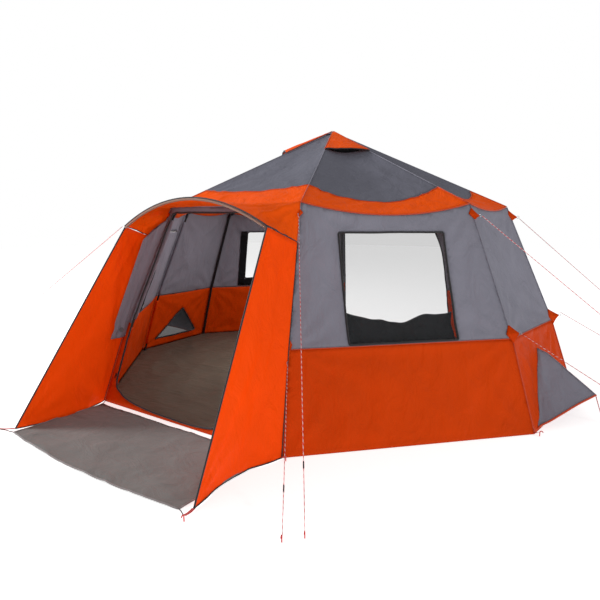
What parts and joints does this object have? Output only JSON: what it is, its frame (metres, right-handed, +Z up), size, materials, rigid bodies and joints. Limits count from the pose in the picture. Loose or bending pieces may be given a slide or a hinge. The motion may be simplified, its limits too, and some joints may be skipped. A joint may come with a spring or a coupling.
{
  "type": "pop up tent",
  "caption": "Family tent with eight cloth sides over a folding umbrella frame, big mesh windows, low vents, a front porch with arched awning, and guy lines.",
  "frame": {"origin": "on the ground straight under the hub's axis, on the underside of the groundsheet", "axes": "+Z up along the hub's axis, -Y out through the door, +X to the right of someone facing the door from outside"},
  "size_m": [6.0892, 4.6364, 2.187],
  "materials": {
    "floor_cloth": "coated polyethylene cloth",
    "orange_cloth": "coated polyester",
    "grey_cloth": "coated polyester",
    "mesh_cloth": "fine mesh",
    "black_cloth": "woven polyester",
    "webbing": "woven webbing",
    "peg_steel": "painted",
    "black_plastic": "moulded",
    "pull_plastic": "moulded",
    "pole": "painted",
    "guy_line": "braided"
  },
  "bodies": {
    "root": {"groundsheet": "floor_cloth", "lower_walls": "orange_cloth", "upper_walls": "grey_cloth", "front_wall": "grey_cloth", "roof_crown": "grey_cloth", "roof_band": "orange_cloth", "peak_vent_hoods": "orange_cloth", "big_windows": "mesh_cloth", "rear_door_mesh": "mesh_cloth", "window_curtains": "black_cloth", "low_vent_hoods": "grey_cloth", "low_vent_meshes": "mesh_cloth", "door_flap": "floor_cloth", "porch_awning": "orange_cloth", "porch_wing_left": "orange_cloth", "porch_wing_right": "orange_cloth", "porch_arch_pole": "pole", "porch_mat": "floor_cloth", "guy_tabs": "webbing", "pegs": "peg_steel", "guy_1": "guy_line", "guy_2": "guy_line", "guy_3": "guy_line", "guy_4": "guy_line", "guy_5": "guy_line", "guy_6": "guy_line", "guy_7": "guy_line", "guy_8": "guy_line"},
    "hub": {"hub": "black_plastic", "hub_cap": "black_plastic", "hub_pull": "pull_plastic"},
    "door_zip": {"door_zip_slider": "black_plastic"},
    "roof_pole_1": {"roof_pole_1": "pole"},
    "leg_1": {"leg_1": "pole"},
    "roof_pole_2": {"roof_pole_2": "pole"},
    "leg_2": {"leg_2": "pole"},
    "roof_pole_3": {"roof_pole_3": "pole"},
    "leg_3": {"leg_3": "pole"},
    "roof_pole_4": {"roof_pole_4": "pole"},
    "leg_4": {"leg_4": "pole"},
    "roof_pole_5": {"roof_pole_5": "pole"},
    "leg_5": {"leg_5": "pole"},
    "roof_pole_6": {"roof_pole_6": "pole"},
    "leg_6": {"leg_6": "pole"},
    "roof_pole_7": {"roof_pole_7": "pole"},
    "leg_7": {"leg_7": "pole"},
    "roof_pole_8": {"roof_pole_8": "pole"},
    "leg_8": {"leg_8": "pole"},
    "runner_1": {"runner_1": "black_plastic"},
    "runner_2": {"runner_2": "black_plastic"},
    "runner_3": {"runner_3": "black_plastic"},
    "runner_4": {"runner_4": "black_plastic"},
    "runner_5": {"runner_5": "black_plastic"},
    "runner_6": {"runner_6": "black_plastic"},
    "runner_7": {"runner_7": "black_plastic"},
    "runner_8": {"runner_8": "black_plastic"}
  },
  "joints": [
    {"name": "hub_drop", "type": "slide", "parent": "root", "child": "hub", "axis": [0, 0, -1], "range_m": [0, 2], "deforming": ["lower_walls", "upper_walls", "front_wall", "roof_crown", "roof_band", "peak_vent_hoods", "big_windows", "rear_door_mesh", "window_curtains", "low_vent_hoods", "low_vent_meshes", "door_flap", "porch_awning", "porch_wing_left", "porch_wing_right", "porch_arch_pole", "guy_tabs", "guy_1", "guy_2", "guy_3", "guy_4", "guy_5", "guy_6", "guy_7", "guy_8"]},
    {"name": "roof_hinge_1", "type": "hinge", "parent": "hub", "child": "roof_pole_1", "pos_m": [0.05288, -0.11876, 2.1], "axis": [-0.9135, -0.4067, 0], "range_deg": [0, 114.59]},
    {"name": "elbow_1", "type": "hinge", "parent": "roof_pole_1", "child": "leg_1", "pos_m": [0.60929, -1.36849, 1.474], "axis": [-0.9135, -0.4067, 0], "range_deg": [-135.76, 0]},
    {"name": "roof_hinge_2", "type": "hinge", "parent": "hub", "child": "roof_pole_2", "pos_m": [0.12254, -0.0434, 2.1], "axis": [-0.3338, -0.9426, 0], "range_deg": [0, 114.59]},
    {"name": "elbow_2", "type": "hinge", "parent": "roof_pole_2", "child": "leg_2", "pos_m": [1.41208, -0.50004, 1.474], "axis": [-0.3338, -0.9426, 0], "range_deg": [-135.76, 0]},
    {"name": "roof_hinge_3", "type": "hinge", "parent": "hub", "child": "roof_pole_3", "pos_m": [0.12873, 0.01809, 2.1], "axis": [0.1392, -0.9903, 0], "range_deg": [0, 114.59]},
    {"name": "elbow_3", "type": "hinge", "parent": "roof_pole_3", "child": "leg_3", "pos_m": [1.48342, 0.20848, 1.474], "axis": [0.1392, -0.9903, 0], "range_deg": [-135.76, 0]},
    {"name": "roof_hinge_4", "type": "hinge", "parent": "hub", "child": "roof_pole_4", "pos_m": [0.05902, 0.11583, 2.1], "axis": [0.891, -0.454, 0], "range_deg": [0, 114.59]},
    {"name": "elbow_4", "type": "hinge", "parent": "roof_pole_4", "child": "leg_4", "pos_m": [0.68008, 1.33473, 1.474], "axis": [0.891, -0.454, 0], "range_deg": [-135.76, 0]},
    {"name": "roof_hinge_5", "type": "hinge", "parent": "hub", "child": "roof_pole_5", "pos_m": [-0.05902, 0.11583, 2.1], "axis": [0.891, 0.454, 0], "range_deg": [0, 114.59]},
    {"name": "elbow_5", "type": "hinge", "parent": "roof_pole_5", "child": "leg_5", "pos_m": [-0.68008, 1.33473, 1.474], "axis": [0.891, 0.454, 0], "range_deg": [-135.76, 0]},
    {"name": "roof_hinge_6", "type": "hinge", "parent": "hub", "child": "roof_pole_6", "pos_m": [-0.12873, 0.01809, 2.1], "axis": [0.1392, 0.9903, 0], "range_deg": [0, 114.59]},
    {"name": "elbow_6", "type": "hinge", "parent": "roof_pole_6", "child": "leg_6", "pos_m": [-1.48342, 0.20848, 1.474], "axis": [0.1392, 0.9903, 0], "range_deg": [-135.76, 0]},
    {"name": "roof_hinge_7", "type": "hinge", "parent": "hub", "child": "roof_pole_7", "pos_m": [-0.12254, -0.0434, 2.1], "axis": [-0.3338, 0.9426, 0], "range_deg": [0, 114.59]},
    {"name": "elbow_7", "type": "hinge", "parent": "roof_pole_7", "child": "leg_7", "pos_m": [-1.41208, -0.50004, 1.474], "axis": [-0.3338, 0.9426, 0], "range_deg": [-135.76, 0]},
    {"name": "roof_hinge_8", "type": "hinge", "parent": "hub", "child": "roof_pole_8", "pos_m": [-0.05288, -0.11876, 2.1], "axis": [-0.9135, 0.4067, 0], "range_deg": [0, 114.59]},
    {"name": "elbow_8", "type": "hinge", "parent": "roof_pole_8", "child": "leg_8", "pos_m": [-0.60929, -1.36849, 1.474], "axis": [-0.9135, 0.4067, 0], "range_deg": [-135.76, 0]},
    {"name": "runner_slide_1", "type": "slide", "parent": "root", "child": "runner_1", "axis": [-0.3954, 0.5315, 0.7491], "range_m": [-0.12, 0.3]},
    {"name": "runner_slide_2", "type": "slide", "parent": "root", "child": "runner_2", "axis": [-0.5029, 0.7171, 0.4824], "range_m": [-0.12, 0.2]},
    {"name": "runner_slide_3", "type": "slide", "parent": "root", "child": "runner_3", "axis": [-0.7738, 0.2744, 0.5709], "range_m": [-0.12, 0.3]},
    {"name": "runner_slide_4", "type": "slide", "parent": "root", "child": "runner_4", "axis": [-0.8559, 0.3762, 0.3548], "range_m": [-0.12, 0.3]},
    {"name": "runner_slide_5", "type": "slide", "parent": "root", "child": "runner_5", "axis": [-0.7368, -0.1068, 0.6676], "range_m": [-0.12, 0.3]},
    {"name": "runner_slide_6", "type": "slide", "parent": "root", "child": "runner_6", "axis": [-0.8435, -0.2159, 0.4918], "range_m": [-0.12, 0.3]},
    {"name": "runner_slide_7", "type": "slide", "parent": "root", "child": "runner_7", "axis": [0.8019, 0.2282, 0.5521], "range_m": [-0.12, 0.3]},
    {"name": "runner_slide_8", "type": "slide", "parent": "root", "child": "runner_8", "axis": [0.9306, 0.2271, 0.2869], "range_m": [-0.12, 0.3]},
    {"name": "door_zip_slide", "type": "slide", "parent": "root", "child": "door_zip", "axis": [0.1235, 0.2872, 0.9499], "range_m": [0, 0.3]}
  ],
  "couplings": [
    {"joint": "roof_hinge_1", "follows": "hub_drop", "rad_per_m": 0.99998},
    {"joint": "elbow_1", "follows": "hub_drop", "rad_per_m": -1.1847},
    {"joint": "roof_hinge_2", "follows": "hub_drop", "rad_per_m": 0.99998},
    {"joint": "elbow_2", "follows": "hub_drop", "rad_per_m": -1.1847},
    {"joint": "roof_hinge_3", "follows": "hub_drop", "rad_per_m": 0.99998},
    {"joint": "elbow_3", "follows": "hub_drop", "rad_per_m": -1.1847},
    {"joint": "roof_hinge_4", "follows": "hub_drop", "rad_per_m": 0.99998},
    {"joint": "elbow_4", "follows": "hub_drop", "rad_per_m": -1.1847},
    {"joint": "roof_hinge_5", "follows": "hub_drop", "rad_per_m": 0.99998},
    {"joint": "elbow_5", "follows": "hub_drop", "rad_per_m": -1.1847},
    {"joint": "roof_hinge_6", "follows": "hub_drop", "rad_per_m": 0.99998},
    {"joint": "elbow_6", "follows": "hub_drop", "rad_per_m": -1.1847},
    {"joint": "roof_hinge_7", "follows": "hub_drop", "rad_per_m": 0.99998},
    {"joint": "elbow_7", "follows": "hub_drop", "rad_per_m": -1.1847},
    {"joint": "roof_hinge_8", "follows": "hub_drop", "rad_per_m": 0.99998},
    {"joint": "elbow_8", "follows": "hub_drop", "rad_per_m": -1.1847}
  ]
}
